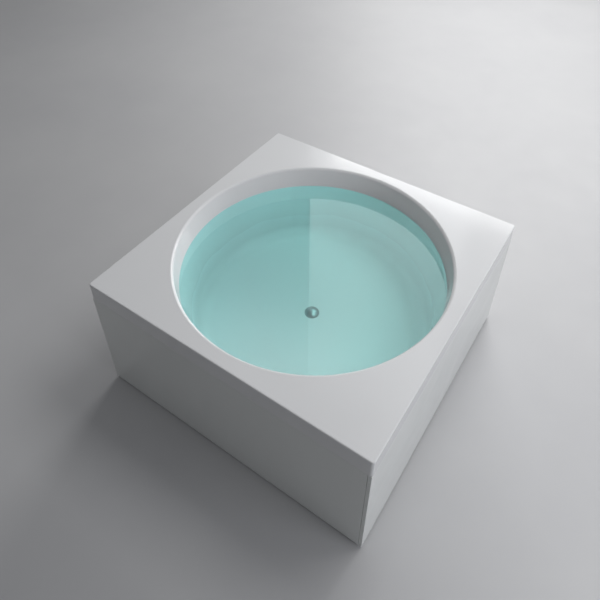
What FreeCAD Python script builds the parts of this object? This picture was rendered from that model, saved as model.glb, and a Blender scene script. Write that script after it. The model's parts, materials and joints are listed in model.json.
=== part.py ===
import FreeCAD, Part
import math
import os

V = FreeCAD.Vector
AXIS_X = V(1, 0, 0)
AXIS_Y = V(0, 1, 0)
AXIS_Z = V(0, 0, 1)
BACK_X = V(-1, 0, 0)
ORIGIN = V(0, 0, 0)

# Tub shell, in mm, and the angles of its walls and floor in degrees
SIDE = 1400.0
HEIGHT = 685.0
LIP = 92.0
SKIN = 8.0
LIP_CORNER_R = 12.0
LIP_EDGE_R = 5.0
RIM_ROUND = 14.0
DRAFT = 7.5
FLOOR_Z = 108.0
FALL = 1.0
HEEL_R = 75.0

# Clearances
SLIDING = 0.4
SEATED = 0.2
JOINT = 1.0
LIP_GAP = 1.0
RAIL_CLEAR = 9.0
FLOOR_GAP = 10.0
CHAMFER = 1.0

# Panels and their push-fit fixings
PANEL_T = 16.0
PANEL_EDGE_R = 2.0
STUD_R = 5.0
STUD_WAIST = 1.2
SOCKET_W = 24.0
SOCKET_H = 28.0
SOCKET_CHAMFER = 1.5
SOCKET_DROP = 73.0
SOCKET_RISE = 65.0

# Steel frame and plywood
TUBE = 25.0
TUBE_T = 2.0
TUBE_R = 2.5
STANDOFF = 12.0
RUNNER_Y = 250.0
BOARD_T = 15.0
BOARD_R = 455.0
BOARD_HOLE_CLEAR = 18.0
CORNER_BOARD_END = 250.0
CORNER_BOARD_CLEAR = 22.0
SCREW_R = 3.0
SCREW_HEAD = 4.0
SCREW_HEAD_AF = 10.0
SCREW_X = 150.0

# Levelling feet
FOOT_STUD_R = 6.0
FOOT_PAD_R = 28.0
FOOT_PAD_T = 10.0
FOOT_PAD_EDGE = 4.0
FOOT_LAND = 6.0
FOOT_HOLLOW = 2.0
FOOT_HUB_R = 14.0
FOOT_HUB_T = 8.0
FOOT_END_GAP = 0.3
NUT_WALL = 3.5
WELD_NUT_T = 10.0
LOCK_NUT_T = 7.0
LOCK_NUT_GAP = 0.5
FOOT_FROM_CORNER = 59.5
FOOT_FROM_BOARD_EDGE = 155.0

# Waste and its plug
FLANGE_R = 35.0
FLANGE_T = 3.0
GASKET_T = 1.5
WASHER_T = 2.0
TAIL_R = 26.0
TAIL_T = 3.5
TAIL_IN_CHAMBER = 6.0
SEAT_DEPTH = 4.0
GUIDE_T = 8.0
GUIDE_HUB_WALL = 4.0
GUIDE_ARM = 3.0
PLUG_RISE = 1.2
PLUG_EDGE = 1.5
PLUG_DOME = 11.0
PLUG_SKIN = 2.5
PLUG_SEAL_R = 2.0
PLUG_SEAL_Z = 0.9
STEM_R = 3.0
STEM_FOOT_R = 4.5
STEM_FOOT_T = 4.0

# Waste chamber, its lever and the spigot below it
CHAMBER_R = 40.0
WALL = 3.0
NECK_L = 4.0
NECK_WALL = 8.0
BODY_FLANGE_T = 6.0
SOCKET_WALL = 4.0
SOCKET_L = 34.0
BOARD_CLEAR = 9.0
OUTLET_R = 20.0
OUTLET_T = 2.0
OUTLET_END_Z = 4.0
OUTLET_COLLAR = 1.0
OUTLET_FLANGE = 6.0
STEM_HEIGHT = 13.0
LEVER_X = 20.0
LEVER_REACH = 17.3
LEVER_DROP = 5.0
LEVER_NOSE_R = 3.4
LEVER_GAP = 0.6
LEVER_W = 8.0
AXLE_R = 3.0
AXLE_HUB_R = 5.0
AXLE_BOSS_R = 6.0
AXLE_BOSS_L = 5.0
ARM_T = 4.0
CRANK_W = 6.0

# Overflow, its knob, pipe and cable, with its place round the basin in degrees
OVERFLOW_TUBE_R = 25.0
OVERFLOW_HOLE_CLEAR = 1.2
OVERFLOW_RING = 8.0
OVERFLOW_RING_T = 2.4
OVERFLOW_FLANGE = 11.0
OVERFLOW_FLANGE_T = 4.0
OVERFLOW_GASKET_T = 4.0
OVERFLOW_CLEAR = 17.0
OVERFLOW_TURN = -20.0
OVERFLOW_GUIDE = 18.0
KNOB_R = 32.0
KNOB_STANDOFF = 7.0
KNOB_T = 6.0
KNOB_CROWN = 1.5
KNOB_EDGE_R = 2.0
GRIP_W = 8.0
GRIP_H = 6.0
GRIP_INSET = 6.0
GRIP_R = 3.0
SPINDLE_R = 4.0
CAM_R = 14.0
CAM_T = 5.0
CAM_PIN_R = 2.0
CAM_PIN_OFFSET = 10.0
PIPE_R = 14.0
PIPE_T = 2.0
PIPE_INSERT = 24.0
PIPE_BEND_R = 70.0
NUT_OVER = 6.5
NUT_L = 17.0
NUT_LIP = 4.0
NUT_GROOVE_R = 1.6
NUT_GROOVES = 12
CABLE_R = 3.0
CABLE_SLEEVE = 3.0
CABLE_SLEEVE_L = 24.0
CABLE_APART = 12.0

# Planes of the shell, panels and frame
LIP_Z = HEIGHT - LIP
DECK_Z = HEIGHT - SKIN
UNDER_Z = FLOOR_Z - SKIN
PANEL_IN = SIDE / 2 - PANEL_T
FRAME_OUT = PANEL_IN - STANDOFF
FRAME_IN = FRAME_OUT - TUBE
FRAME_MID = FRAME_OUT - TUBE / 2
FOOT_INSET = FRAME_MID - FOOT_FROM_CORNER
RUNNER_FOOT_X = BOARD_R - FOOT_FROM_BOARD_EDGE
RIM_R = FRAME_IN - SKIN - RAIL_CLEAR
BOARD_Z = UNDER_Z - BOARD_T
RAIL_Z = BOARD_Z - TUBE
TOP_RAIL_Z = DECK_Z - TUBE
SOCKET_LEVELS = (RAIL_Z + TUBE + SOCKET_RISE, LIP_Z - SOCKET_DROP)
COS_DRAFT = math.cos(math.radians(DRAFT))
TAN_DRAFT = math.tan(math.radians(DRAFT))

# Planes of the waste, from the basin floor down
SEAT_R = FLANGE_R + 4 * CHAMFER
SEAT_Z = FLOOR_Z - FLANGE_T - GASKET_T
TAIL_BORE_R = TAIL_R - TAIL_T
WASTE_HOLE_R = TAIL_R + JOINT
PLUG_R = FLANGE_R + CHAMFER
PLUG_BOSS_R = TAIL_BORE_R - 1.35 * PLUG_SEAL_R
BODY_TOP = UNDER_Z - WASHER_T
CHAMBER_TOP = BODY_TOP - BODY_FLANGE_T - NECK_L
TAIL_END_Z = CHAMBER_TOP - TAIL_IN_CHAMBER
NUT_R = PIPE_R + NUT_OVER
CABLE_Y = NUT_R + CABLE_R / 2
PIPE_Z = BOARD_Z - BOARD_CLEAR - PIPE_R
CABLE_Z = PIPE_Z + CABLE_APART
CHAMBER_FLOOR = PIPE_Z - PIPE_R - SOCKET_WALL
CHAMBER_Z = CHAMBER_FLOOR - WALL
STEM_FOOT_Z = CHAMBER_FLOOR + STEM_HEIGHT
LEVER_Z = STEM_FOOT_Z - LEVER_GAP - LEVER_NOSE_R + LEVER_DROP
AXLE_END = math.sqrt(CHAMBER_R ** 2 - LEVER_X ** 2) - CHAMFER

# Planes of the overflow, from the inner wall outwards
OVERFLOW_FLANGE_R = OVERFLOW_TUBE_R + OVERFLOW_FLANGE
OVERFLOW_BORE_R = OVERFLOW_TUBE_R - WALL
OVERFLOW_CUP_R = OVERFLOW_TUBE_R + 2 * WALL
OVERFLOW_DROP = SKIN + TUBE + OVERFLOW_FLANGE_R + OVERFLOW_CLEAR
OVERFLOW_X = RIM_R - TAN_DRAFT * OVERFLOW_DROP
OVERFLOW_Z = HEIGHT - OVERFLOW_DROP
GASKET_BACK = SKIN + OVERFLOW_GASKET_T
FLANGE_BACK = GASKET_BACK + OVERFLOW_FLANGE_T
PIPE_BACK = SKIN + WALL + NUT_R
CABLE_BACK = PIPE_BACK + CABLE_APART
OVERFLOW_DEPTH = CABLE_BACK + CABLE_R + CABLE_SLEEVE + JOINT
OVERFLOW_POSE = FreeCAD.Placement(V(OVERFLOW_X, 0, OVERFLOW_Z), FreeCAD.Rotation(AXIS_Y, DRAFT - 90))

# The four sides and corners in order, each a quarter turn on from the one before
SIDES = ("front", "right", "rear", "left")
CORNERS = ("front_left", "front_right", "rear_right", "rear_left")


def cylinder(r, z0, z1, x=0.0, y=0.0):
    return Part.makeCylinder(r, z1 - z0, V(x, y, z0), AXIS_Z)


def ring(r_out, r_in, z0, z1):
    return cylinder(r_out, z0, z1).cut(cylinder(r_in, z0 - 1, z1 + 1))


def box(x0, x1, y0, y1, z0, z1):
    return Part.makeBox(x1 - x0, y1 - y0, z1 - z0, V(x0, y0, z0))


def hexagon(across, z0, z1, x, y):
    r = across / math.sqrt(3.0)
    points = []
    for i in range(7):
        a = math.radians(60 * i)
        points.append(V(x + r * math.cos(a), y + r * math.sin(a), z0))
    return Part.Face(Part.makePolygon(points)).extrude(V(0, 0, z1 - z0))


def turned(shape, quarter):
    """Copy of a shape, turned by quarter turns about the tub's axis."""
    copy = shape.copy()
    copy.rotate(ORIGIN, AXIS_Z, 90.0 * quarter)
    return copy


def revolved(points):
    """Solid turned about Z from (r, z) points; four values give the end and the middle of an arc."""
    edges = []
    last = V(points[0][0], 0, points[0][1])
    for p in points[1:] + [points[0]]:
        end = V(p[0], 0, p[1])
        if len(p) == 4:
            edges.append(Part.Arc(last, V(p[2], 0, p[3]), end).toShape())
        else:
            edges.append(Part.makeLine(last, end))
        last = end
    return Part.Face(Part.Wire(edges)).revolve(ORIGIN, AXIS_Z, 360)


def meet(p, u, q, v):
    """Point where the line p + s u crosses the line q + t v."""
    d = u[0] * v[1] - u[1] * v[0]
    s = ((q[0] - p[0]) * v[1] - (q[1] - p[1]) * v[0]) / d
    return (p[0] + s * u[0], p[1] + s * u[1])


def basin_solid(skin):
    """Space inside the basin for skin 0, and the same form grown outwards by the skin."""
    a = math.radians(FALL)
    b = math.radians(DRAFT)
    floor_u = (math.cos(a), math.sin(a))
    wall_u = (math.sin(b), math.cos(b))
    floor_n = (math.sin(a), -math.cos(a))
    wall_n = (math.cos(b), -math.sin(b))
    floor_p = (SEAT_R - HEEL_R * floor_n[0], FLOOR_Z - HEEL_R * floor_n[1])
    wall_p = (RIM_R - HEEL_R * wall_n[0], HEIGHT - HEEL_R * wall_n[1])
    cx, cz = meet(floor_p, floor_u, wall_p, wall_u)
    r = HEEL_R + skin
    half = math.hypot(floor_n[0] + wall_n[0], floor_n[1] + wall_n[1])
    mx = cx + r * (floor_n[0] + wall_n[0]) / half
    mz = cz + r * (floor_n[1] + wall_n[1]) / half
    heel = (cx + r * floor_n[0], cz + r * floor_n[1])
    flat = meet((0, FLOOR_Z - skin), (1, 0), heel, floor_u)
    points = [(0, FLOOR_Z - skin), flat, heel]
    points.append((cx + r * wall_n[0], cz + r * wall_n[1], mx, mz))
    if skin:
        top = HEIGHT - skin / 2
        points.append((RIM_R + skin / COS_DRAFT - TAN_DRAFT * (HEIGHT - top), top))
        points.append((0, top))
    else:
        points += rim_points(wall_u)
    return revolved(points)


def rim_points(wall_u):
    """Rounded rim from the wall to the deck, then up and back to the axis."""
    t = RIM_ROUND / math.tan(math.radians(45 + DRAFT / 2))
    qx = RIM_R + t
    qz = HEIGHT - RIM_ROUND
    d = math.hypot(t, RIM_ROUND)
    mid = (qx - RIM_ROUND * t / d, qz + RIM_ROUND * RIM_ROUND / d)
    wall_end = (RIM_R - t * wall_u[0], HEIGHT - t * wall_u[1])
    above = HEIGHT + SKIN
    return [wall_end, (qx, HEIGHT) + mid, (qx, above), (0, above)]


BASIN_IN = basin_solid(0)
BASIN_OUT = basin_solid(SKIN)


def rounded_slab(side, corner_r, z0, z1):
    h = side / 2
    slab = box(-h, h, -h, h, z0, z1)
    upright = [e for e in slab.Edges if e.BoundBox.ZLength > 1]
    return slab.makeFillet(corner_r, upright)


def at_overflow(shape):
    """Shape drawn about its own Z, set square to the basin wall at the overflow, with Z into the basin."""
    placed = shape.copy()
    placed.Placement = OVERFLOW_POSE.multiply(shape.Placement)
    return placed


def to_overflow(shape):
    """Copy of a shape drawn in the XZ plane, turned about the tub's axis to where the overflow stands."""
    copy = shape.copy()
    copy.rotate(ORIGIN, AXIS_Z, OVERFLOW_TURN)
    return copy


def tub_shell():
    """Square deck, turned-down lip and round basin in one skin."""
    slab = rounded_slab(SIDE, LIP_CORNER_R, LIP_Z, HEIGHT)
    slab = slab.makeFillet(LIP_EDGE_R, [e for e in slab.Edges if e.BoundBox.ZMin > HEIGHT - 0.1])
    inner_r = max(LIP_CORNER_R - SKIN, CHAMFER)
    under = rounded_slab(SIDE - 2 * SKIN, inner_r, LIP_Z - 1, DECK_Z)
    shell = slab.cut(under).fuse(BASIN_OUT).cut(BASIN_IN)
    shell = shell.cut(cylinder(FLANGE_R + SLIDING, SEAT_Z, FLOOR_Z + 1))
    shell = shell.cut(cylinder(WASTE_HOLE_R, UNDER_Z - 1, FLOOR_Z))
    hole_r = OVERFLOW_TUBE_R + OVERFLOW_HOLE_CLEAR
    shell = shell.cut(to_overflow(at_overflow(cylinder(hole_r, -2 * SKIN, SKIN))))
    return shell.removeSplitter()


def screw_places():
    return [(x, y) for x in (-SCREW_X, SCREW_X) for y in (-RUNNER_Y, RUNNER_Y)]


def base_board():
    """Plywood disc bedded to the underside of the basin floor, with the waste hole and screw pilots."""
    disc = ring(BOARD_R, SEAT_R + BOARD_HOLE_CLEAR, BOARD_Z, FLOOR_Z + SKIN).cut(BASIN_OUT)
    depth = BOARD_T - WALL
    pilots = [cylinder(SCREW_R, BOARD_Z - 1, BOARD_Z + depth, x, y) for x, y in screw_places()]
    return disc.cut(Part.makeCompound(pilots))


def corner_board():
    """Plywood gusset glued under the deck in the front left corner, hollowed round the basin."""
    edge = FRAME_IN - JOINT
    board = box(-edge, -CORNER_BOARD_END, -edge, -CORNER_BOARD_END, DECK_Z - BOARD_T, DECK_Z)
    return board.cut(cylinder(RIM_R + SKIN + CORNER_BOARD_CLEAR, DECK_Z - 2 * BOARD_T, HEIGHT))


def tube_x(x0, x1, y, z):
    """Square tube along X about the line y, open at both ends, with z its lower face."""
    outer = box(x0, x1, y - TUBE / 2, y + TUBE / 2, z, z + TUBE)
    outer = outer.makeFillet(TUBE_R, [e for e in outer.Edges if e.BoundBox.XLength > TUBE])
    h = TUBE / 2 - TUBE_T
    return outer.cut(box(x0 - 1, x1 + 1, y - h, y + h, z + TUBE_T, z + TUBE - TUBE_T))


def foot_hole(x, y):
    return cylinder(FOOT_STUD_R + SLIDING, RAIL_Z - 1, RAIL_Z + TUBE_T + 1, x, y)


def ring_rail():
    """Front rail of the lower ring, drilled for its foot."""
    rail = tube_x(-FRAME_OUT, FRAME_IN, -FRAME_MID, RAIL_Z)
    return rail.cut(foot_hole(-FOOT_INSET, -FRAME_MID))


def top_rail():
    """Front rail under the edge of the deck."""
    return tube_x(-FRAME_OUT, FRAME_IN, -FRAME_MID, TOP_RAIL_Z)


def corner_post():
    """Front left post between the lower ring and the top rails."""
    outer = box(-FRAME_OUT, -FRAME_IN, -FRAME_OUT, -FRAME_IN, RAIL_Z + TUBE, TOP_RAIL_Z)
    outer = outer.makeFillet(TUBE_R, [e for e in outer.Edges if e.BoundBox.ZLength > TUBE])
    out = FRAME_OUT - TUBE_T
    inn = FRAME_IN + TUBE_T
    return outer.cut(box(-out, -inn, -out, -inn, RAIL_Z, DECK_Z))


def runner(y):
    """Cross member under the base board, drilled for two feet and two screws."""
    bar = tube_x(-FRAME_IN, FRAME_IN, y, RAIL_Z)
    drills = [foot_hole(x, y) for x in (-RUNNER_FOOT_X, RUNNER_FOOT_X)]
    for x in (-SCREW_X, SCREW_X):
        drills.append(cylinder(SCREW_R + SLIDING, RAIL_Z - 1, BOARD_Z + 1, x, y))
    return bar.cut(Part.makeCompound(drills))


def runner_front():
    return runner(-RUNNER_Y)


def runner_rear():
    return runner(RUNNER_Y)


def board_screws():
    """Hexagon screws up through the runners into the base board."""
    screws = []
    for x, y in screw_places():
        head = hexagon(SCREW_HEAD_AF, RAIL_Z - SCREW_HEAD, RAIL_Z, x, y)
        shank = cylinder(SCREW_R, RAIL_Z - CHAMFER, BOARD_Z + BOARD_T - WALL - CHAMFER, x, y)
        screws.append(head.fuse(shank))
    return Part.makeCompound(screws)


def foot_places():
    """Name and place of each foot: one per ring rail, two per runner."""
    places = []
    for i, side in enumerate(SIDES):
        p = turned(Part.Vertex(-FOOT_INSET, -FRAME_MID, 0), i).Point
        places.append(("foot_" + side, p.x, p.y))
    for y, row in ((-RUNNER_Y, "front"), (RUNNER_Y, "rear")):
        for x, end in ((-RUNNER_FOOT_X, "left"), (RUNNER_FOOT_X, "right")):
            places.append(("runner_foot_" + row + "_" + end, x, y))
    return places


def foot(x, y):
    """Levelling foot: dished pad, hub and stud, screwed fully home in its rail."""
    top = RAIL_Z + TUBE - TUBE_T - FOOT_END_GAP
    hub_z = FOOT_PAD_T + FOOT_HUB_T
    land = FOOT_PAD_R - FOOT_LAND
    c = CHAMFER
    points = [(0, FOOT_HOLLOW), (land, FOOT_HOLLOW), (land, 0), (FOOT_PAD_R - c, 0), (FOOT_PAD_R, c)]
    points += [(FOOT_PAD_R, FOOT_PAD_EDGE), (FOOT_HUB_R, FOOT_PAD_T), (FOOT_HUB_R, hub_z - c)]
    points += [(FOOT_HUB_R - c, hub_z), (FOOT_STUD_R, hub_z), (FOOT_STUD_R, top - c), (FOOT_STUD_R - c, top)]
    solid = revolved(points + [(0, top)])
    solid.translate(V(x, y, 0))
    return solid


def foot_nuts(z0, z1):
    """Hexagon nuts round all the foot studs, with a running bore."""
    bore = FOOT_STUD_R + SLIDING
    nuts = []
    for _, x, y in foot_places():
        blank = hexagon(2 * (FOOT_STUD_R + NUT_WALL), z0, z1, x, y)
        nuts.append(blank.cut(cylinder(bore, z0 - 1, z1 + 1, x, y)))
    return Part.makeCompound(nuts)


def foot_weld_nuts():
    return foot_nuts(RAIL_Z - WELD_NUT_T, RAIL_Z)


def foot_lock_nuts():
    top = RAIL_Z - WELD_NUT_T - LOCK_NUT_GAP
    return foot_nuts(top - LOCK_NUT_T, top)


def stud_places():
    """Places of the push-fit fixings along the front panel, as (x, z)."""
    places = [(x, z) for x in (-FRAME_MID, FRAME_MID) for z in SOCKET_LEVELS]
    places.append((0.0, RAIL_Z + TUBE / 2))
    return places


def panel():
    """Front panel: reaches the left corner and stops behind the right panel."""
    half = SIDE / 2
    board = box(-half, PANEL_IN - JOINT, -half, -PANEL_IN, FLOOR_GAP, LIP_Z - LIP_GAP)
    return board.makeFillet(PANEL_EDGE_R, board.Edges)


def panel_studs():
    """Waisted push-fit studs on the back of the front panel."""
    length = STANDOFF - JOINT
    neck = STUD_R - STUD_WAIST
    points = [(0, 0), (STUD_R, 0), (STUD_R, 0.25 * length), (neck, 0.35 * length), (neck, 0.55 * length)]
    points += [(STUD_R, 0.65 * length), (STUD_R, 0.8 * length), (STUD_R - 0.2 * length, length), (0, length)]
    one = revolved(points)
    one.rotate(ORIGIN, AXIS_X, -90)
    studs = []
    for x, z in stud_places():
        stud = one.copy()
        stud.translate(V(x, -PANEL_IN, z))
        studs.append(stud)
    return Part.makeCompound(studs)


def panel_sockets():
    """Bored plastic blocks on the frame that the studs push into, all four sides."""
    blocks = []
    y0 = -PANEL_IN + SLIDING
    for i in range(len(SIDES)):
        for x, z in stud_places():
            h = TUBE if x == 0 else SOCKET_H
            block = box(x - SOCKET_W / 2, x + SOCKET_W / 2, y0, -FRAME_OUT, z - h / 2, z + h / 2)
            block = block.makeChamfer(SOCKET_CHAMFER, [e for e in block.Edges if e.BoundBox.YMax < y0 + 0.1])
            bore = Part.makeCylinder(STUD_R + SLIDING, STANDOFF, V(x, -PANEL_IN, z), AXIS_Y)
            blocks.append(turned(block.cut(bore), i))
    return Part.makeCompound(blocks)


def guide(r_out, bore_r, z0):
    """Three-armed guide inside a round tube."""
    z1 = z0 + GUIDE_T
    hub = cylinder(bore_r + GUIDE_HUB_WALL, z0, z1)
    for i in range(3):
        arm = box(0, r_out, -GUIDE_ARM / 2, GUIDE_ARM / 2, z0, z1)
        arm.rotate(ORIGIN, AXIS_Z, 60 + 120 * i)
        hub = hub.fuse(arm)
    return hub.cut(cylinder(bore_r, z0 - 1, z1 + 1))


def waste_flange():
    """Chromed waste with a coned seat, a threaded tail and a guide for the plug's stem."""
    under = FLOOR_Z - FLANGE_T
    points = [(TAIL_BORE_R, TAIL_END_Z), (TAIL_R, TAIL_END_Z), (TAIL_R, under), (FLANGE_R, under)]
    points += [(FLANGE_R, FLOOR_Z - CHAMFER), (FLANGE_R - CHAMFER, FLOOR_Z), (TAIL_R, FLOOR_Z)]
    points += [(TAIL_BORE_R, FLOOR_Z - SEAT_DEPTH)]
    arms = guide(TAIL_BORE_R + TAIL_T / 2, STEM_R + SLIDING, TAIL_END_Z + 2 * CHAMFER)
    return revolved(points).fuse(arms)


def waste_top_gasket():
    return ring(FLANGE_R - CHAMFER, WASTE_HOLE_R, SEAT_Z, FLOOR_Z - FLANGE_T)


def waste_bottom_gasket():
    return ring(SEAT_R - CHAMFER, WASTE_HOLE_R, BODY_TOP, UNDER_Z)


def axle(r, y0, y1):
    return Part.makeCylinder(r, y1 - y0, V(LEVER_X, y0, LEVER_Z), AXIS_Y)


def drill_x(r, x, y, z, length):
    return Part.makeCylinder(r, length, V(x, y, z), AXIS_X)


def waste_body():
    """Chamber under the waste: takes the overflow pipe, the cable and the lever's bearings."""
    out = CHAMBER_R + WALL
    neck_r = TAIL_R + NECK_WALL
    ledge = BODY_TOP - BODY_FLANGE_T
    points = [(0, CHAMBER_Z), (out - WALL, CHAMBER_Z), (out, CHAMBER_Z + WALL), (out, CHAMBER_TOP - NECK_L)]
    points += [(out - NECK_L, CHAMBER_TOP), (neck_r, CHAMBER_TOP), (neck_r, ledge), (SEAT_R, ledge)]
    body = revolved(points + [(SEAT_R, BODY_TOP), (0, BODY_TOP)])
    body = body.fuse(drill_x(PIPE_R + SOCKET_WALL, CHAMBER_R - WALL, 0, PIPE_Z, SOCKET_L))
    sleeve_x = CHAMBER_R - CABLE_SLEEVE_L / 2
    body = body.fuse(drill_x(CABLE_R + CABLE_SLEEVE, sleeve_x, CABLE_Y, CABLE_Z, CABLE_SLEEVE_L))
    body = body.cut(cylinder(CHAMBER_R, CHAMBER_FLOOR, CHAMBER_TOP - NECK_L))
    bosses = axle(AXLE_BOSS_R, -CHAMBER_R, -AXLE_END + AXLE_BOSS_L)
    bosses = bosses.fuse(axle(AXLE_BOSS_R, AXLE_END - AXLE_BOSS_L, CHAMBER_R))
    body = body.fuse(bosses.common(cylinder(CHAMBER_R + CHAMFER, CHAMBER_Z, CHAMBER_TOP)))
    body = body.cut(cylinder(TAIL_R + SLIDING, CHAMBER_TOP - NECK_L - 1, BODY_TOP + 1))
    body = body.cut(cylinder(OUTLET_R + OUTLET_COLLAR + SLIDING, CHAMBER_Z - 1, CHAMBER_FLOOR + 1))
    body = body.cut(drill_x(PIPE_R - PIPE_T, LEVER_X + AXLE_HUB_R, 0, PIPE_Z, CHAMBER_R))
    body = body.cut(drill_x(PIPE_R + SLIDING, CHAMBER_R + SOCKET_L - WALL - PIPE_INSERT, 0, PIPE_Z, SOCKET_L))
    body = body.cut(drill_x(CABLE_R / 2, LEVER_X, CABLE_Y, CABLE_Z, CHAMBER_R))
    body = body.cut(drill_x(CABLE_R + SEATED, CHAMBER_R, CABLE_Y, CABLE_Z, CABLE_SLEEVE_L))
    return body.cut(axle(AXLE_R + SLIDING, -AXLE_END - SLIDING, AXLE_END + SLIDING))


def tail_seal():
    inner = OUTLET_R + OUTLET_COLLAR + SLIDING
    return ring(OUTLET_R + OUTLET_FLANGE, inner, CHAMBER_FLOOR, CHAMBER_FLOOR + GASKET_T)


def tail_pipe():
    """Flanged spigot hung in the chamber floor, which drops into the drain socket."""
    bore = OUTLET_R - OUTLET_T
    collar = OUTLET_R + OUTLET_COLLAR
    edge = OUTLET_R + OUTLET_FLANGE
    z0 = CHAMBER_FLOOR + GASKET_T
    end = OUTLET_END_Z
    points = [(bore, end), (OUTLET_R - CHAMFER, end), (OUTLET_R, end + 2 * CHAMFER), (OUTLET_R, CHAMBER_Z)]
    points += [(collar, CHAMBER_Z), (collar, z0), (edge, z0), (edge, z0 + WALL)]
    return revolved(points + [(bore, z0 + WALL)])


def plug_cap():
    """Domed cap with a boss that carries the seal."""
    z0 = FLOOR_Z + PLUG_RISE
    edge = z0 + PLUG_EDGE
    top = edge + PLUG_DOME
    r = (PLUG_R ** 2 + PLUG_DOME ** 2) / (2 * PLUG_DOME)
    centre = top - r
    inner = r - PLUG_SKIN
    lip_r = math.sqrt(inner ** 2 - (z0 - centre) ** 2)
    mid_r = (lip_r + PLUG_BOSS_R) / 2
    mid_z = centre + math.sqrt(inner ** 2 - mid_r ** 2)
    boss_z = centre + math.sqrt(inner ** 2 - PLUG_BOSS_R ** 2)
    dome_z = centre + math.sqrt(r ** 2 - PLUG_R ** 2 / 4)
    foot_z = FLOOR_Z - WALL
    points = [(0, foot_z), (PLUG_BOSS_R, foot_z), (PLUG_BOSS_R, boss_z), (lip_r, z0, mid_r, mid_z)]
    return revolved(points + [(PLUG_R, z0), (PLUG_R, edge), (0, top, PLUG_R / 2, dome_z)])


def plug_seal():
    centre = V(0, 0, FLOOR_Z - PLUG_SEAL_Z)
    return Part.makeTorus(PLUG_BOSS_R + PLUG_SEAL_R + SEATED / 2, PLUG_SEAL_R, centre, AXIS_Z)


def plug_stem():
    """Rod down through the guide, with a foot that the lever lifts."""
    r = STEM_FOOT_R
    z0 = STEM_FOOT_Z
    z1 = z0 + STEM_FOOT_T
    half = CHAMFER / 2
    points = [(0, z0), (r - half, z0), (r, z0 + half), (r, z1 - CHAMFER), (STEM_R, z1)]
    return revolved(points + [(STEM_R, FLOOR_Z - WALL), (0, FLOOR_Z - WALL)])


def bar_xz(x0, z0, x1, z1, width, y0, y1):
    """Flat bar with round ends between two points of an XZ plane."""
    length = math.hypot(x1 - x0, z1 - z0)
    bar = box(0, length, y0, y1, -width / 2, width / 2)
    for x in (0, length):
        bar = bar.fuse(Part.makeCylinder(width / 2, y1 - y0, V(x, y0, 0), AXIS_Y))
    bar.rotate(ORIGIN, AXIS_Y, -math.degrees(math.atan2(z1 - z0, x1 - x0)))
    bar.translate(V(x0, 0, z0))
    return bar


def lift_lever():
    """Axle across the chamber, with an arm under the plug's stem and a crank for the cable."""
    tip_x = LEVER_X - LEVER_REACH
    tip_z = LEVER_Z - LEVER_DROP
    h = LEVER_W / 2
    lever = axle(AXLE_R, -AXLE_END, AXLE_END).fuse(axle(AXLE_HUB_R, -h - CHAMFER, h + CHAMFER))
    lever = lever.fuse(bar_xz(LEVER_X, LEVER_Z, tip_x, tip_z, ARM_T, -h, h))
    lever = lever.fuse(Part.makeCylinder(LEVER_NOSE_R, LEVER_W, V(tip_x, -h, tip_z), AXIS_Y))
    crank_x = LEVER_X - LEVER_DROP
    crank_y = CABLE_Y - CRANK_W / 2
    crank = bar_xz(LEVER_X, LEVER_Z, crank_x, CABLE_Z - CHAMFER, ARM_T, crank_y, crank_y + CRANK_W)
    return lever.fuse(crank)


def overflow_ring():
    """Chromed ring on the basin wall, with a threaded tube and a guide for the spindle."""
    end = -OVERFLOW_GUIDE - FLANGE_BACK
    ring_r = OVERFLOW_TUBE_R + OVERFLOW_RING
    z0 = OVERFLOW_HOLE_CLEAR
    z1 = z0 + OVERFLOW_RING_T
    points = [(OVERFLOW_BORE_R, end), (OVERFLOW_TUBE_R, end), (OVERFLOW_TUBE_R, z0), (ring_r, z0)]
    points += [(ring_r, z1 - CHAMFER), (ring_r - CHAMFER, z1), (OVERFLOW_BORE_R, z1)]
    arms = guide(OVERFLOW_BORE_R + CHAMFER, SPINDLE_R + SLIDING, -FLANGE_BACK - GUIDE_T)
    return at_overflow(revolved(points).fuse(arms))


def overflow_seal():
    """Soft ring under the chromed ring, shaped to the inner wall."""
    z1 = OVERFLOW_HOLE_CLEAR
    inner = OVERFLOW_TUBE_R + OVERFLOW_HOLE_CLEAR
    blank = at_overflow(ring(OVERFLOW_TUBE_R + OVERFLOW_RING - CHAMFER, inner, -SKIN / 2, z1))
    wall = BASIN_IN.copy()
    wall.translate(V(-SEATED, 0, 0))
    return blank.common(wall)


def overflow_gasket():
    """Thick gasket behind the wall, shaped to the outer skin."""
    inner = OVERFLOW_TUBE_R + OVERFLOW_HOLE_CLEAR
    blank = at_overflow(ring(OVERFLOW_FLANGE_R - CHAMFER, inner, -GASKET_BACK, -SKIN / 2))
    wall = BASIN_OUT.copy()
    wall.translate(V(SEATED, 0, 0))
    return blank.cut(wall)


def drill_down(r, x, y, back, length):
    """Round hole or boss down the wall from the overflow's axis."""
    return Part.makeCylinder(r, length, V(-x, y, -back), BACK_X)


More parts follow.
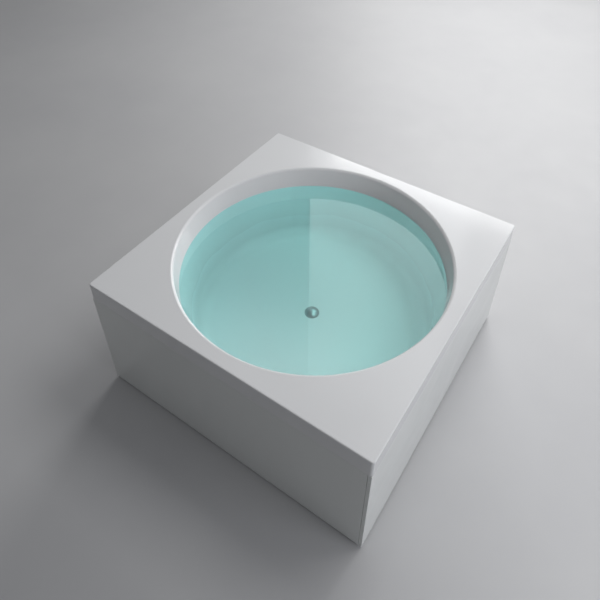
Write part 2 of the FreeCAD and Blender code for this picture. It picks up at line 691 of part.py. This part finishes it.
def overflow_body():
    """Cup behind the wall: joins the ring's tube to the pipe and holds the cable's end."""
    back = -OVERFLOW_DEPTH
    r = OVERFLOW_CUP_R
    flange_r = OVERFLOW_FLANGE_R
    points = [(0, back), (r - WALL, back), (r, back + WALL), (r, -FLANGE_BACK), (flange_r, -FLANGE_BACK)]
    body = revolved(points + [(flange_r, -GASKET_BACK), (0, -GASKET_BACK)])
    body = body.fuse(drill_down(PIPE_R + SOCKET_WALL, r - WALL, 0, PIPE_BACK, SOCKET_L - WALL))
    sleeve_x = r - CABLE_SLEEVE_L / 2
    body = body.fuse(drill_down(CABLE_R + CABLE_SLEEVE, sleeve_x, CABLE_Y, CABLE_BACK, CABLE_SLEEVE_L))
    body = body.cut(cylinder(r - WALL, back + WALL, -FLANGE_BACK - CHAMFER))
    body = body.cut(cylinder(OVERFLOW_TUBE_R + SLIDING, -FLANGE_BACK - WALL, 0))
    body = body.cut(drill_down(PIPE_R - PIPE_T, r / 2, 0, PIPE_BACK, 2 * SOCKET_L))
    body = body.cut(drill_down(PIPE_R + SLIDING, pipe_start(), 0, PIPE_BACK, SOCKET_L))
    body = body.cut(drill_down(CABLE_R / 2, r / 2, CABLE_Y, CABLE_BACK, CABLE_SLEEVE_L))
    body = body.cut(drill_down(CABLE_R + SEATED, cable_start(), CABLE_Y, CABLE_BACK, CABLE_SLEEVE_L))
    return at_overflow(body)


def pipe_start():
    """Distance down the wall from the overflow's axis to the bottom of the pipe's socket."""
    return OVERFLOW_CUP_R + SOCKET_L - 2 * WALL - PIPE_INSERT


def cable_start():
    return OVERFLOW_CUP_R


def overflow_knob():
    """Turning disc that stands off the ring so that water runs in behind it, with a grip across its face."""
    z0 = KNOB_STANDOFF
    z1 = z0 + KNOB_T
    e = KNOB_EDGE_R
    bulge = 0.3 * e
    points = [(0, z0), (KNOB_R - e, z0), (KNOB_R, z0 + e, KNOB_R - bulge, z0 + bulge), (KNOB_R, z1 - e)]
    points += [(KNOB_R - e, z1, KNOB_R - bulge, z1 - bulge)]
    points += [(0, z1 + KNOB_CROWN, KNOB_R / 2, z1 + 0.75 * KNOB_CROWN)]
    half = KNOB_R - GRIP_INSET
    grip = box(-GRIP_W / 2, GRIP_W / 2, -half, half, z1 - e, z1 + GRIP_H)
    upper = [e for e in grip.Edges if e.BoundBox.ZMax > z1 + CHAMFER]
    return at_overflow(revolved(points).fuse(grip.makeFillet(GRIP_R, upper)))


def knob_spindle():
    """Shaft of the knob, with the disc and pin that pull the cable."""
    cam_z = CAM_T + WALL - OVERFLOW_DEPTH
    shaft = cylinder(SPINDLE_R, cam_z, KNOB_STANDOFF)
    disc = cylinder(CAM_R, cam_z, cam_z + CAM_T)
    pin = cylinder(CAM_PIN_R, cam_z - CAM_T + CHAMFER, cam_z, 0, CAM_PIN_OFFSET)
    return at_overflow(shaft.fuse(disc).fuse(pin))


def path_wire(points, bend_r):
    """Line from point to point with one tangent bend at the middle point."""
    a, corner, b = points
    u = (a - corner).normalize()
    v = (b - corner).normalize()
    half_angle = u.getAngle(v) / 2
    t = bend_r / math.tan(half_angle)
    mid = corner + (u + v).normalize() * (bend_r / math.sin(half_angle) - bend_r)
    bend = Part.Arc(corner + u * t, mid, corner + v * t).toShape()
    return Part.Wire([Part.makeLine(a, corner + u * t), bend, Part.makeLine(corner + v * t, b)])


def swept(points, bend_r, r):
    disc = Part.Face(Part.Wire(Part.makeCircle(r, points[0], points[1] - points[0])))
    return path_wire(points, bend_r).makePipe(disc)


def run_down(x, y, back, level, end_x):
    """Corner points of a run parallel to the basin wall, then level to the waste."""
    start = OVERFLOW_POSE.multVec(V(-x, y, -back))
    corner = V(start.x - TAN_DRAFT * (start.z - level), y, level)
    return [start, corner, V(end_x, y, level)]


def overflow_pipe():
    """Bent pipe from the overflow to the waste chamber."""
    end = CHAMBER_R + SOCKET_L - WALL - PIPE_INSERT + JOINT
    outer = run_down(pipe_start() + JOINT, 0, PIPE_BACK, PIPE_Z, end)
    bore = run_down(pipe_start(), 0, PIPE_BACK, PIPE_Z, end - JOINT)
    return swept(outer, PIPE_BEND_R, PIPE_R).cut(swept(bore, PIPE_BEND_R, PIPE_R - PIPE_T))


def pipe_nut():
    """Ribbed nut with its lip at z = 0 and its skirt above."""
    bore = PIPE_R + SLIDING
    skirt = PIPE_R + SOCKET_WALL + SEATED
    points = [(bore, 0), (NUT_R - 2 * CHAMFER, 0), (NUT_R, 2 * CHAMFER), (NUT_R, NUT_L), (skirt, NUT_L)]
    nut = revolved(points + [(skirt, NUT_LIP), (bore, NUT_LIP)])
    for i in range(NUT_GROOVES):
        groove = cylinder(NUT_GROOVE_R, NUT_LIP, NUT_L + 1, NUT_R + NUT_GROOVE_R / 2, 0)
        groove.rotate(ORIGIN, AXIS_Z, 360.0 * i / NUT_GROOVES)
        nut = nut.cut(groove)
    return nut


def pipe_nuts():
    """The two nuts that hold the pipe in its sockets."""
    upper = pipe_nut()
    upper.rotate(ORIGIN, AXIS_Y, 90)
    upper.translate(V(-OVERFLOW_CUP_R - SOCKET_L + 2 * WALL - NUT_LIP, 0, -PIPE_BACK))
    lower = pipe_nut()
    lower.rotate(ORIGIN, AXIS_Y, -90)
    lower.translate(V(CHAMBER_R + SOCKET_L - WALL + NUT_LIP, 0, PIPE_Z))
    return Part.makeCompound([at_overflow(upper), lower])


def cable():
    """Sheathed cable from the knob's disc to the lever."""
    points = run_down(cable_start() + SEATED, CABLE_Y, CABLE_BACK, CABLE_Z, CHAMBER_R + SEATED)
    return swept(points, PIPE_BEND_R, CABLE_R)


def all_nodes():
    nodes = {}
    for i, corner in enumerate(CORNERS):
        nodes["corner_board_" + corner] = turned(corner_board(), i)
        nodes["corner_post_" + corner] = turned(corner_post(), i)
    for i, side in enumerate(SIDES):
        nodes["ring_rail_" + side] = turned(ring_rail(), i)
        nodes["top_rail_" + side] = turned(top_rail(), i)
        nodes[side + "_panel"] = turned(panel(), i)
        nodes[side + "_panel_studs"] = turned(panel_studs(), i)
    for name, x, y in foot_places():
        nodes[name] = foot(x, y)
    singles = (tub_shell, base_board, runner_front, runner_rear, board_screws, foot_weld_nuts, foot_lock_nuts)
    singles += (panel_sockets, waste_flange, waste_top_gasket, waste_bottom_gasket, tail_seal, tail_pipe)
    singles += (plug_cap, plug_seal, plug_stem)
    for make in singles:
        nodes[make.__name__] = make()
    linked = (waste_body, lift_lever, overflow_ring, overflow_seal, overflow_gasket, overflow_body)
    linked += (overflow_knob, knob_spindle, overflow_pipe, pipe_nuts, cable)
    for make in linked:
        nodes[make.__name__] = to_overflow(make())
    return nodes


os.makedirs("parts", exist_ok=True)
for node, shape in all_nodes().items():
    shape.exportStep("parts/" + node + ".step")
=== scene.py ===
import json
import math

import bmesh
import bpy
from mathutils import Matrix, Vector


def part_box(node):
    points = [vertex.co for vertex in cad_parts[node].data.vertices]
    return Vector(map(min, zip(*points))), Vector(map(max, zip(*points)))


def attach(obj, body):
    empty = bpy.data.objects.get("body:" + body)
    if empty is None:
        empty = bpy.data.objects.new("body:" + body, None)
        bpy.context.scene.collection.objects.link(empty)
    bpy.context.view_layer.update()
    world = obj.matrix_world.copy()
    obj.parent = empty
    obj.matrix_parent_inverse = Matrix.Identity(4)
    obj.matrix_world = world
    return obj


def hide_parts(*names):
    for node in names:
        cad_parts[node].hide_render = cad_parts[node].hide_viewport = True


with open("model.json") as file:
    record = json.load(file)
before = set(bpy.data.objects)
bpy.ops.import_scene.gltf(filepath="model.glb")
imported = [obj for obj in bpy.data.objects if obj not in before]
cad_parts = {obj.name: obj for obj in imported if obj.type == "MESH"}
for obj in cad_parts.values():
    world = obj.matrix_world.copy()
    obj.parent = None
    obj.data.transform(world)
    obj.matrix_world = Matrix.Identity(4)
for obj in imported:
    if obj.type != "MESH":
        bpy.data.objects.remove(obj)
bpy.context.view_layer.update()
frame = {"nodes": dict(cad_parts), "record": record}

SCENE = bpy.context.scene
SCENE.view_settings.view_transform = "Standard"
MM_PER_M = 1000

# Camera, in metres, degrees and millimetres of lens and sensor
CAMERA_AT = (1.0482, -1.64856, 2.67448)
CAMERA_AZ = 34.1803
CAMERA_EL = 38.6841
LENS = 36.5124
SENSOR = 36.0
SHIFT_Y = -0.2

# Bath water and floor, which only set the stage, in metres
WATER_Z = 0.5765
WATER_R = 0.6163
WATER_STEPS = 192
WATER_IOR = 1.33
WATER_SHINE = 2.5
WATER_BOUNCE = (0.6, 0.6, 0.6, 1)
WATER_SHADOW = (0.84, 1.0, 0.985, 1)
FLOOR_HALF = 30.0

# Light from all round, level and from above
HORIZON = (0.62, 0.63, 0.65)
ZENITH = (1.0, 1.02, 1.05)

# Levelling feet, from the CAD, in millimetres: pad and hub as radius and height, and the stud's lower end
FOOT_PROFILE = ((0, 2), (22, 2), (22, 0), (27, 0), (28, 1), (28, 4), (14, 10), (14, 17), (13, 18), (5.1, 18))
FOOT_STEPS = 48
FOOT_SMOOTH = 40
STUD_FOOT = 18.0

# Thread of the feet: radius and share of the pitch, and the slope of its run-out at both ends
THREAD_PITCH = 1.75
THREAD_ROOT = 5.1
THREAD_CREST = 6.0
THREAD_PROFILE = ((THREAD_ROOT, 0.0), (THREAD_CREST, 0.42), (THREAD_CREST, 0.58), (THREAD_ROOT, 1.0))
THREAD_RUNOUT = 0.6

# Welded frame, from the CAD, in millimetres: post faces, heights of the rails, runners and tube
FRAME_OUT = 672.0
FRAME_IN = 647.0
RING_Z = (60.0, 85.0)
TOP_Z = (652.0, 677.0)
RUNNER_Y = 250.0
TUBE = 25.0

# Weld beads: radius in millimetres, ripples along the bead and their height, and how the ends draw in
BEAD_R = 2.0
BEAD_SIDES = 10
BEAD_STEPS = 22
BEAD_WAVES = 7.3
BEAD_RIPPLE = 0.16
BEAD_POWER = 6
BEAD_TIP = 0.02
BEAD_SMOOTH = 80

# Points closer than this, in metres, are one point
MERGE = 1e-7

# Shell faces that show the glass-fibre back: those turned down, those turned away from the axis in the basin
# and those turned towards it on the lip, in metres from the axis
BACK_DOWN = -0.5
BACK_TURN = 0.1
BACK_BASIN = 0.69
BACK_LIP = 0.68

PLASTIC_IOR = 1.49
ACRYLIC_WHITE = (0.79, 0.796, 0.805)
LACQUER_WHITE = (0.775, 0.793, 0.78)

FEET = ["foot_" + side for side in ("front", "right", "rear", "left")]
FEET += ["runner_foot_%s_%s" % (row, end) for row in ("front", "rear") for end in ("left", "right")]


# Node-tree helpers

class Tree:
    """Short calls for nodes. Every input is a value or the output of another node."""

    def __init__(self, tree):
        self.tree = tree

    def put(self, value, socket):
        if isinstance(value, bpy.types.NodeSocket):
            self.tree.links.new(value, socket)
        else:
            socket.default_value = value

    def add(self, kind, inputs=None, **props):
        node = self.tree.nodes.new("ShaderNode" + kind)
        for key, value in props.items():
            setattr(node, key, value)
        for key, value in (inputs or {}).items():
            self.put(value, node.inputs[key])
        return node

    def split(self, vector):
        return self.add("SeparateXYZ", {"Vector": vector}).outputs

    def span(self, value, low, high, start=0.0, end=1.0):
        """Takes start to low and end to high."""
        ends = {"From Min": start, "From Max": end, "To Min": low, "To Max": high}
        return self.add("MapRange", {"Value": value, **ends}).outputs["Result"]

    def colours(self, value, *stops):
        node = self.add("ValToRGB", {"Fac": value})
        ramp = node.color_ramp
        while len(ramp.elements) < len(stops):
            ramp.elements.new(0.5)
        for element, (at, colour) in zip(ramp.elements, stops):
            element.position = at
            element.color = (*colour, 1.0)
        return node.outputs["Color"]

    def math(self, operation, a, b=0.0):
        return self.add("Math", {0: a, 1: b}, operation=operation).outputs["Value"]

    def dot(self, a, b):
        """Sum of the products of two pairs."""
        return self.math("ADD", self.math("MULTIPLY", a[0], b[0]), self.math("MULTIPLY", a[1], b[1]))

    def blend(self, factor, a, b):
        """Number a where the factor is 0 and b where it is 1."""
        return self.math("ADD", a, self.math("MULTIPLY", factor, self.math("SUBTRACT", b, a)))

    def mix(self, factor, a, b):
        """Colour mix; the node keeps its colour sockets after its number and vector ones."""
        return self.add("Mix", {0: factor, 6: a, 7: b}, data_type="RGBA").outputs[2]

    def either(self, factor, a, b):
        """Shader a where the factor is 0 and b where it is 1."""
        return self.add("MixShader", {0: factor, 1: a.outputs[0], 2: b.outputs[0]})


class Material(Tree):
    """A new material whose textures lie in the object's own frame."""

    def __init__(self, name):
        self.mat = bpy.data.materials.new(name)
        self.mat.use_nodes = True
        super().__init__(self.mat.node_tree)
        self.tree.nodes.clear()
        self.place = self.add("TexCoord").outputs["Object"]

    def surface(self, shader):
        self.add("OutputMaterial", {"Surface": shader.outputs[0]})
        return self.mat

    def principled(self, inputs):
        return self.surface(self.add("BsdfPrincipled", inputs))

    def normal(self):
        return self.split(self.add("NewGeometry").outputs["Normal"])

    def stretched(self, scale):
        return self.add("Mapping", {"Vector": self.place, "Scale": scale}).outputs["Vector"]

    def noise(self, scale, detail=3.0, rough=0.5, vector=None, distortion=0.0):
        look = {"Scale": scale, "Detail": detail, "Roughness": rough, "Distortion": distortion}
        return self.add("TexNoise", {"Vector": vector or self.place, **look}).outputs["Fac"]

    def cells(self, scale):
        return self.add("TexVoronoi", {"Vector": self.place, "Scale": scale}).outputs

    def layers(self, scale, distortion, detail):
        look = {"Scale": scale, "Distortion": distortion, "Detail": detail}
        return self.add("TexWave", {"Vector": self.place, **look}, bands_direction="Z").outputs["Fac"]

    def bump(self, height, strength, distance):
        look = {"Strength": strength, "Distance": distance}
        return self.add("Bump", {"Height": height, **look}).outputs["Normal"]

    def cloudy(self, colour):
        """Colour of a polished white skin: almost even, with broad faint clouds."""
        return self.colours(self.noise(2.3, 4.0), (0.3, tint(colour, 0.97)), (0.7, colour))

    def wiped(self, low, high):
        """Roughness of a polished skin that is wiped clean."""
        return self.span(self.noise(3.5, 3.0, distortion=0.6), low, high, 0.3, 0.7)


def tint(colour, factor):
    return tuple(c * factor for c in colour)


# Materials

def lacquer():
    """Sprayed and polished lacquer: faint cloudiness, wiped gloss and a fine orange peel."""
    t = Material("white_lacquer")
    peel = t.math("ADD", t.noise(480.0, 1.0), t.math("MULTIPLY", t.noise(5.0, 1.0), 3.0))
    return t.principled({
        "Base Color": t.cloudy(LACQUER_WHITE),
        "Roughness": t.wiped(0.2, 0.26),
        "IOR": PLASTIC_IOR,
        "Normal": t.bump(peel, 0.004, 0.0006),
    })


def shell_back(t, at):
    """1 on the faces of the shell that are turned to the inside of the tub's casing, 0 on the others."""
    facing = t.normal()
    outward = t.dot(at, facing)
    reach = t.math("MAXIMUM", t.math("ABSOLUTE", at[0]), t.math("ABSOLUTE", at[1]))
    below = t.math("LESS_THAN", facing[2], BACK_DOWN)
    away = t.math("GREATER_THAN", outward, BACK_TURN)
    basin = t.math("MULTIPLY", away, t.math("LESS_THAN", reach, BACK_BASIN))
    inwards = t.math("LESS_THAN", outward, -BACK_TURN)
    lip = t.math("MULTIPLY", inwards, t.math("GREATER_THAN", reach, BACK_LIP))
    return t.math("MAXIMUM", below, t.math("MAXIMUM", basin, lip))


def acrylic():
    """Polished sanitary skin, matt underfoot, with sprayed glass-fibre on its back."""
    t = Material("white_acrylic")
    at = t.split(t.place)
    back = shell_back(t, at)
    strands = t.noise(6.0, 6.0, 0.7, t.stretched((30.0, 4.0, 12.0)), 2.5)
    resin_tones = (0.3, (0.5, 0.47, 0.36)), (0.55, (0.66, 0.63, 0.52)), (0.75, (0.74, 0.72, 0.63))
    underfoot = t.span(at[2], 0.36, 0.0, 0.12, 0.4)
    peel = t.math("MULTIPLY", t.noise(5.0, 1.0), 0.02)
    fibre = t.math("ADD", strands, t.noise(160.0, 3.0))
    return t.principled({
        "Base Color": t.mix(back, t.cloudy(ACRYLIC_WHITE), t.colours(strands, *resin_tones)),
        "Roughness": t.blend(back, t.math("ADD", t.wiped(0.1, 0.15), underfoot), 0.5),
        "IOR": PLASTIC_IOR,
        "Normal": t.bump(t.blend(back, peel, fibre), 0.8, 0.0012),
    })


def plywood():
    """Rotary-cut face veneer with long grain, and plies showing on the edges."""
    t = Material("plywood")
    grain_at = t.stretched((2.5, 26.0, 26.0))
    grain = t.noise(3.0, 8.0, 0.62, grain_at, 1.2)
    pores = t.noise(22.0, 3.0, 0.6, grain_at)
    face = t.colours(grain, (0.28, (0.36, 0.23, 0.12)), (0.5, (0.56, 0.4, 0.24)), (0.72, (0.68, 0.52, 0.34)))
    edge = t.colours(t.layers(110.0, 0.4, 1.0), (0.35, (0.3, 0.19, 0.1)), (0.65, (0.66, 0.5, 0.32)))
    flat = t.span(t.math("ABSOLUTE", t.normal()[2]), 0.0, 1.0, 0.4, 0.6)
    return t.principled({
        "Base Color": t.mix(flat, edge, face),
        "Roughness": 0.62,
        "Normal": t.bump(t.math("ADD", grain, pores), 0.35, 0.0008),
    })


def galvanised():
    """Zinc spangle: crystals with their own grey and gloss, dulled in patches."""
    t = Material("galvanised_tube")
    spangle = t.cells(85.0)
    crystal = t.add("SeparateColor", {"Color": spangle["Color"]}).outputs["Red"]
    shade = t.dot((crystal, t.noise(7.0, 4.0, 0.6)), (0.6, 0.4))
    return t.principled({
        "Base Color": t.colours(shade, (0.2, (0.4, 0.42, 0.44)), (0.8, (0.63, 0.65, 0.67))),
        "Metallic": 1.0,
        "Roughness": t.span(shade, 0.52, 0.3),
        "Normal": t.bump(spangle["Distance"], 0.12, 0.0004),
    })


def plated(name, low, high, rough, spread, scratch):
    """Plated or turned metal: toned patches, fingered gloss and fine scratches."""
    t = Material(name)
    marks = t.noise(70.0, 5.0, 0.7, distortion=0.8)
    scratches = t.noise(9.0, 4.0, 0.7, t.stretched((14.0, 160.0, 160.0)))
    return t.principled({
        "Base Color": t.colours(t.noise(38.0, 4.0, 0.6), (0.3, low), (0.7, high)),
        "Metallic": 1.0,
        "Roughness": t.span(marks, rough, rough + spread, 0.35, 0.75),
        "Normal": t.bump(scratches, scratch, 0.0003),
    })


def moulded(name, colour, rough, grain_scale, grain):
    """Moulded plastic or rubber: flow marks, a spark-eroded grain and handled gloss."""
    t = Material(name)
    flow = t.noise(14.0, 4.0, 0.6, distortion=1.0)
    return t.principled({
        "Base Color": t.colours(flow, (0.3, tint(colour, 0.88)), (0.7, colour)),
        "Roughness": t.span(t.noise(30.0, 4.0, 0.65), rough - 0.08, rough + 0.1, 0.3, 0.7),
        "Normal": t.bump(t.noise(grain_scale, 3.0, 0.6), grain, 0.0004),
    })


def weld():
    """Cooled weld metal: blued and browned steel with a dull silver middle."""
    t = Material("weld_seam")
    heat = t.noise(90.0, 4.0, 0.6, distortion=0.7)
    heat_tones = (0.3, (0.2, 0.19, 0.2)), (0.55, (0.4, 0.38, 0.36)), (0.75, (0.5, 0.5, 0.52))
    return t.principled({
        "Base Color": t.colours(heat, *heat_tones),
        "Metallic": 1.0,
        "Roughness": t.span(heat, 0.6, 0.4),
        "Normal": t.bump(t.noise(700.0, 2.0), 0.3, 0.0004),
    })


# Slot, low and high tone, roughness, its spread and the depth of scratches
PLATED = (
    ("zinc_steel", (0.58, 0.58, 0.56), (0.7, 0.7, 0.7), 0.22, 0.16, 0.25),
    ("chrome", (0.5, 0.51, 0.52), (0.58, 0.59, 0.6), 0.32, 0.08, 0.02),
    ("brass", (0.55, 0.39, 0.15), (0.75, 0.58, 0.27), 0.2, 0.15, 0.2),
)

# Slot, colour, roughness, and the scale and depth of the grain
MOULDED = (
    ("nylon", (0.76, 0.76, 0.72), 0.42, 900.0, 0.12),
    ("white_plastic", (0.78, 0.78, 0.76), 0.38, 1100.0, 0.1),
    ("black_rubber", (0.025, 0.025, 0.026), 0.68, 1400.0, 0.3),
    ("cable_sheath", (0.04, 0.04, 0.045), 0.42, 1200.0, 0.12),
)

MATERIALS = {
    "white_acrylic": acrylic(),
    "white_lacquer": lacquer(),
    "plywood": plywood(),
    "galvanised_tube": galvanised(),
}
MATERIALS.update((row[0], plated(*row)) for row in PLATED)
MATERIALS.update((row[0], moulded(*row)) for row in MOULDED)

for part in frame["record"]["subparts"]:
    mesh = frame["nodes"][part["node"]].data
    mesh.materials.clear()
    mesh.materials.append(MATERIALS[part["material_slot"]])


# Pieces that the CAD leaves plain: foot threads and weld seams

def new_object(name, data):
    obj = bpy.data.objects.new(name, data)
    SCENE.collection.objects.link(obj)
    return obj


def new_mesh(name, points, faces, mat, smooth_angle):
    """Mesh from points in millimetres, with the points that coincide merged and collapsed faces gone."""
    mesh = bpy.data.meshes.new(name)
    mesh.from_pydata([tuple(c / MM_PER_M for c in p) for p in points], [], faces)
    merged = bmesh.new()
    merged.from_mesh(mesh)
    bmesh.ops.remove_doubles(merged, verts=merged.verts, dist=MERGE)
    merged.to_mesh(mesh)
    merged.free()
    mesh.materials.append(mat)
    mesh.shade_smooth()
    mesh.set_sharp_from_angle(angle=math.radians(smooth_angle))
    mesh.validate()
    return mesh


def ring(radius, z, steps):
    """Points of a level circle."""
    turns = [2 * math.pi * i / steps for i in range(steps)]
    return [(radius * math.cos(a), radius * math.sin(a), z) for a in turns]


def bridge(lower, upper, steps):
    """Faces between two rings, from the numbers of their first points."""
    pairs = [(i, (i + 1) % steps) for i in range(steps)]
    return [(lower + i, lower + j, upper + j, upper + i) for i, j in pairs]


def thread_points(top):
    """Rows of points across a thread that winds up the stud, held between the stud's ends."""
    points = []
    turns = math.ceil((top - STUD_FOOT) / THREAD_PITCH) + 1
    for i in range(turns * FOOT_STEPS + 1):
        a = 2 * math.pi * i / FOOT_STEPS
        rise = STUD_FOOT + THREAD_PITCH * (i / FOOT_STEPS - 1)
        for r, up in THREAD_PROFILE:
            z = min(max(rise + THREAD_PITCH * up, STUD_FOOT), top)
            r = min(r, THREAD_ROOT + THREAD_RUNOUT * min(top - z, z - STUD_FOOT))
            points.append((r * math.cos(a), r * math.sin(a), z))
    return points


def foot_mesh(top):
    """Pad and hub turned from their profile, and a threaded stud with chamfered ends."""
    points, faces = [], []
    for r, z in FOOT_PROFILE:
        points += ring(r, z, FOOT_STEPS)
    for k in range(len(FOOT_PROFILE) - 1):
        faces += bridge(k * FOOT_STEPS, (k + 1) * FOOT_STEPS, FOOT_STEPS)
    start = len(points)
    points += thread_points(top)
    end = len(points)
    row = len(THREAD_PROFILE)
    for first in range(start, end - row, row):
        faces += [(a, a + row, a + row + 1, a + 1) for a in range(first, first + row - 1)]
    points += ring(THREAD_ROOT, top, FOOT_STEPS)
    faces.append(tuple(range(end, end + FOOT_STEPS)))
    return new_mesh("threaded_foot", points, faces, MATERIALS["zinc_steel"], FOOT_SMOOTH)


def place_feet():
    low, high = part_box(FEET[0])
    mesh = foot_mesh(high[2] * MM_PER_M)
    for name in FEET:
        low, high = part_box(name)
        obj = new_object(name + "_threaded", mesh)
        obj.location = ((low[0] + high[0]) / 2, (low[1] + high[1]) / 2, 0)
        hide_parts(name)
        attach(obj, name + "_body")


def weld_lines():
    """Ends of every seam of the frame, one corner and one runner end at a time."""
    o, i = FRAME_OUT, FRAME_IN
    corner = []
    for z in (RING_Z[1], TOP_Z[0]):
        foot = [(-o, -o, z), (-i, -o, z), (-i, -i, z), (-o, -i, z)]
        corner += [(foot[k], foot[(k + 1) % 4]) for k in range(4)]
    for z0, z1 in (RING_Z, TOP_Z):
        corner.append(((-o, -i, z0), (-o, -i, z1)))
        corner.append(((-o, -i, z0), (-i, -i, z0)))
    lines = []
    for c, s in ((1, 0), (0, 1), (-1, 0), (0, -1)):
        for ends in corner:
            lines.append([(x * c - y * s, x * s + y * c, z) for x, y, z in ends])
    for x in (-FRAME_IN, FRAME_IN):
        for y in (-RUNNER_Y, RUNNER_Y):
            a, b = y - TUBE / 2, y + TUBE / 2
            lines += [[(x, a, z), (x, b, z)] for z in RING_Z]
            lines += [[(x, e, RING_Z[0]), (x, e, RING_Z[1])] for e in (a, b)]
    return lines


def bead_points(a, b, phase):
    """Rings of points along one rippled bead whose ends draw in."""
    a, b = Vector(a), Vector(b)
    along = (b - a).normalized()
    u = along.orthogonal().normalized()
    v = along.cross(u)
    points = []
    for i in range(BEAD_STEPS + 1):
        f = i / BEAD_STEPS
        close = math.sqrt(max(1 - (2 * f - 1) ** BEAD_POWER, BEAD_TIP))
        ripple = 1 + BEAD_RIPPLE * math.cos(2 * math.pi * BEAD_WAVES * f + phase)
        centre = a.lerp(b, f)
        points += [centre + u * x + v * y for x, y, _ in ring(BEAD_R * close * ripple, 0, BEAD_SIDES)]
    return points


def weld_seams():
    """Beads along all the seams, as one piece."""
    points, faces = [], []
    for count, (a, b) in enumerate(weld_lines()):
        start = len(points)
        points += bead_points(a, b, count)
        last = len(points) - BEAD_SIDES
        for first in range(start, last, BEAD_SIDES):
            faces += bridge(first, first + BEAD_SIDES, BEAD_SIDES)
        faces.append(tuple(reversed(range(start, start + BEAD_SIDES))))
        faces.append(tuple(range(last, last + BEAD_SIDES)))
    mesh = new_mesh("frame_weld_seams", points, faces, weld(), BEAD_SMOOTH)
    obj = new_object("frame_weld_seams", mesh)
    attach(obj, "tub")


place_feet()
weld_seams()


# Stage: floor, bath water, light and camera

def stage_face(name, points, mat):
    mesh = bpy.data.meshes.new(name)
    mesh.from_pydata(points, [], [tuple(range(len(points)))])
    mesh.materials.append(mat)
    new_object(name, mesh)


def floor_material():
    """Trowelled floor with broad clouds."""
    t = Material("floor")
    cloud = t.noise(0.9, 5.0, 0.6)
    return t.principled({
        "Base Color": t.colours(cloud, (0.3, (0.54, 0.54, 0.55)), (0.7, (0.58, 0.58, 0.585))),
        "Roughness": t.span(t.noise(6.0, 4.0, 0.6), 0.42, 0.58),
    })


def water_material():
    """Clear teal bath water, deeper in tone towards the near left and paler towards the far right, painted
    light for more light on that side of the basin. Light falls straight in.
    """
    t = Material("water")
    at = t.split(t.place)
    across = t.dot(at, (0.64, 0.77))
    # Share of each colour that is let through, by the place on the surface: more towards the far right,
    # painted light for the basin's right side
    painted_light_tone = t.add("CombineColor", {
        "Red": t.span(at[0], 0.52, 0.655, -0.55, 0.25),
        "Green": t.span(across, 0.82, 1.0, -0.3, 0.38),
        "Blue": t.span(across, 0.81, 0.97, -0.3, 0.38),
    })
    below = t.add("BsdfRefraction", {"Color": painted_light_tone.outputs["Color"], "Roughness": 0.0, "IOR": WATER_IOR})
    mirror = t.add("BsdfGlossy", {"Color": (1, 1, 1, 1), "Roughness": 0.0})
    above = t.math("SUBTRACT", 1.0, t.add("NewGeometry").outputs["Backfacing"])
    fresnel = t.add("Fresnel", {"IOR": WATER_IOR}).outputs["Fac"]
    shine = t.math("MULTIPLY", fresnel, t.blend(above, 1.0, WATER_SHINE))
    seen = t.either(shine, below, mirror)
    path = t.add("LightPath").outputs
    pale = t.add("BsdfDiffuse", {"Color": WATER_BOUNCE})
    bounced = t.either(t.math("MULTIPLY", path["Is Diffuse Ray"], above), seen, pale)
    clear = t.add("BsdfTransparent", {"Color": WATER_SHADOW})
    return t.surface(t.either(path["Is Shadow Ray"], bounced, clear))


def studio_world(strength):
    """Even light from all round, brighter from above."""
    world = bpy.data.worlds.new("studio")
    world.use_nodes = True
    SCENE.world = world
    t = Tree(world.node_tree)
    up = t.split(t.add("TexCoord").outputs["Generated"])["Z"]
    back = t.tree.nodes["Background"]
    t.put(t.colours(up, (0.0, HORIZON), (1.0, ZENITH)), back.inputs["Color"])
    t.put(strength, back.inputs["Strength"])


def softbox(name, at, aim, size, power, colour=(1, 1, 1)):
    light = bpy.data.lights.new(name, "AREA")
    light.shape = "RECTANGLE"
    light.size, light.size_y = size
    light.energy = power
    light.color = colour
    obj = new_object(name, light)
    obj.location = at
    obj.rotation_euler = (Vector(aim) - Vector(at)).to_track_quat("-Z", "Y").to_euler()
    return obj


def fade(box, first, last):
    """Grades a softbox along its height."""
    box.data.use_nodes = True
    t = Tree(box.data.node_tree)
    along = t.split(t.add("NewGeometry").outputs["Parametric"])["Y"]
    t.put(t.span(along, first, last), t.tree.nodes["Emission"].inputs["Strength"])


def add_lights():
    """A large softbox behind the tub and two fills that leave no mirror image on the water."""
    studio_world(strength=0.188)
    softbox("behind", (-0.6, 6.0, 3.4), (-0.6, 0, 0.5), size=(5.0, 3.0), power=262)
    cool = (0.98, 1.0, 1.06)
    side = softbox("side", (4.4, -0.3, 1.7), (0.7, 0, 0.4), size=(2.4, 1.8), power=52, colour=cool)
    ceiling = softbox("ceiling", (1.5, 1.2, 4.0), (1.5, 1.2, 0), size=(3.0, 1.6), power=60)
    side.visible_glossy = False
    ceiling.visible_glossy = False


def add_screen():
    """A tall graded screen that shows only as the water's and the gloss's reflection."""
    at, aim = (-1.725, 4.6, 6.5), (-1.725, 0, 6.5)
    screen = softbox("screen", at, aim, size=(2.55, 6.2), power=48, colour=(0.96, 0.99, 1.0))
    fade(screen, first=1.8, last=0.5)
    screen.visible_diffuse = False


def add_camera():
    data = bpy.data.cameras.new("camera")
    data.lens = LENS
    data.sensor_width = SENSOR
    data.shift_y = SHIFT_Y
    camera = new_object("camera", data)
    camera.location = CAMERA_AT
    camera.rotation_euler = (math.radians(90 - CAMERA_EL), 0, math.radians(CAMERA_AZ))
    SCENE.camera = camera


h = FLOOR_HALF
stage_face("floor", [(-h, -h, 0), (h, -h, 0), (h, h, 0), (-h, h, 0)], floor_material())
stage_face("water", ring(WATER_R, WATER_Z, WATER_STEPS), water_material())
add_lights()
add_screen()
add_camera()
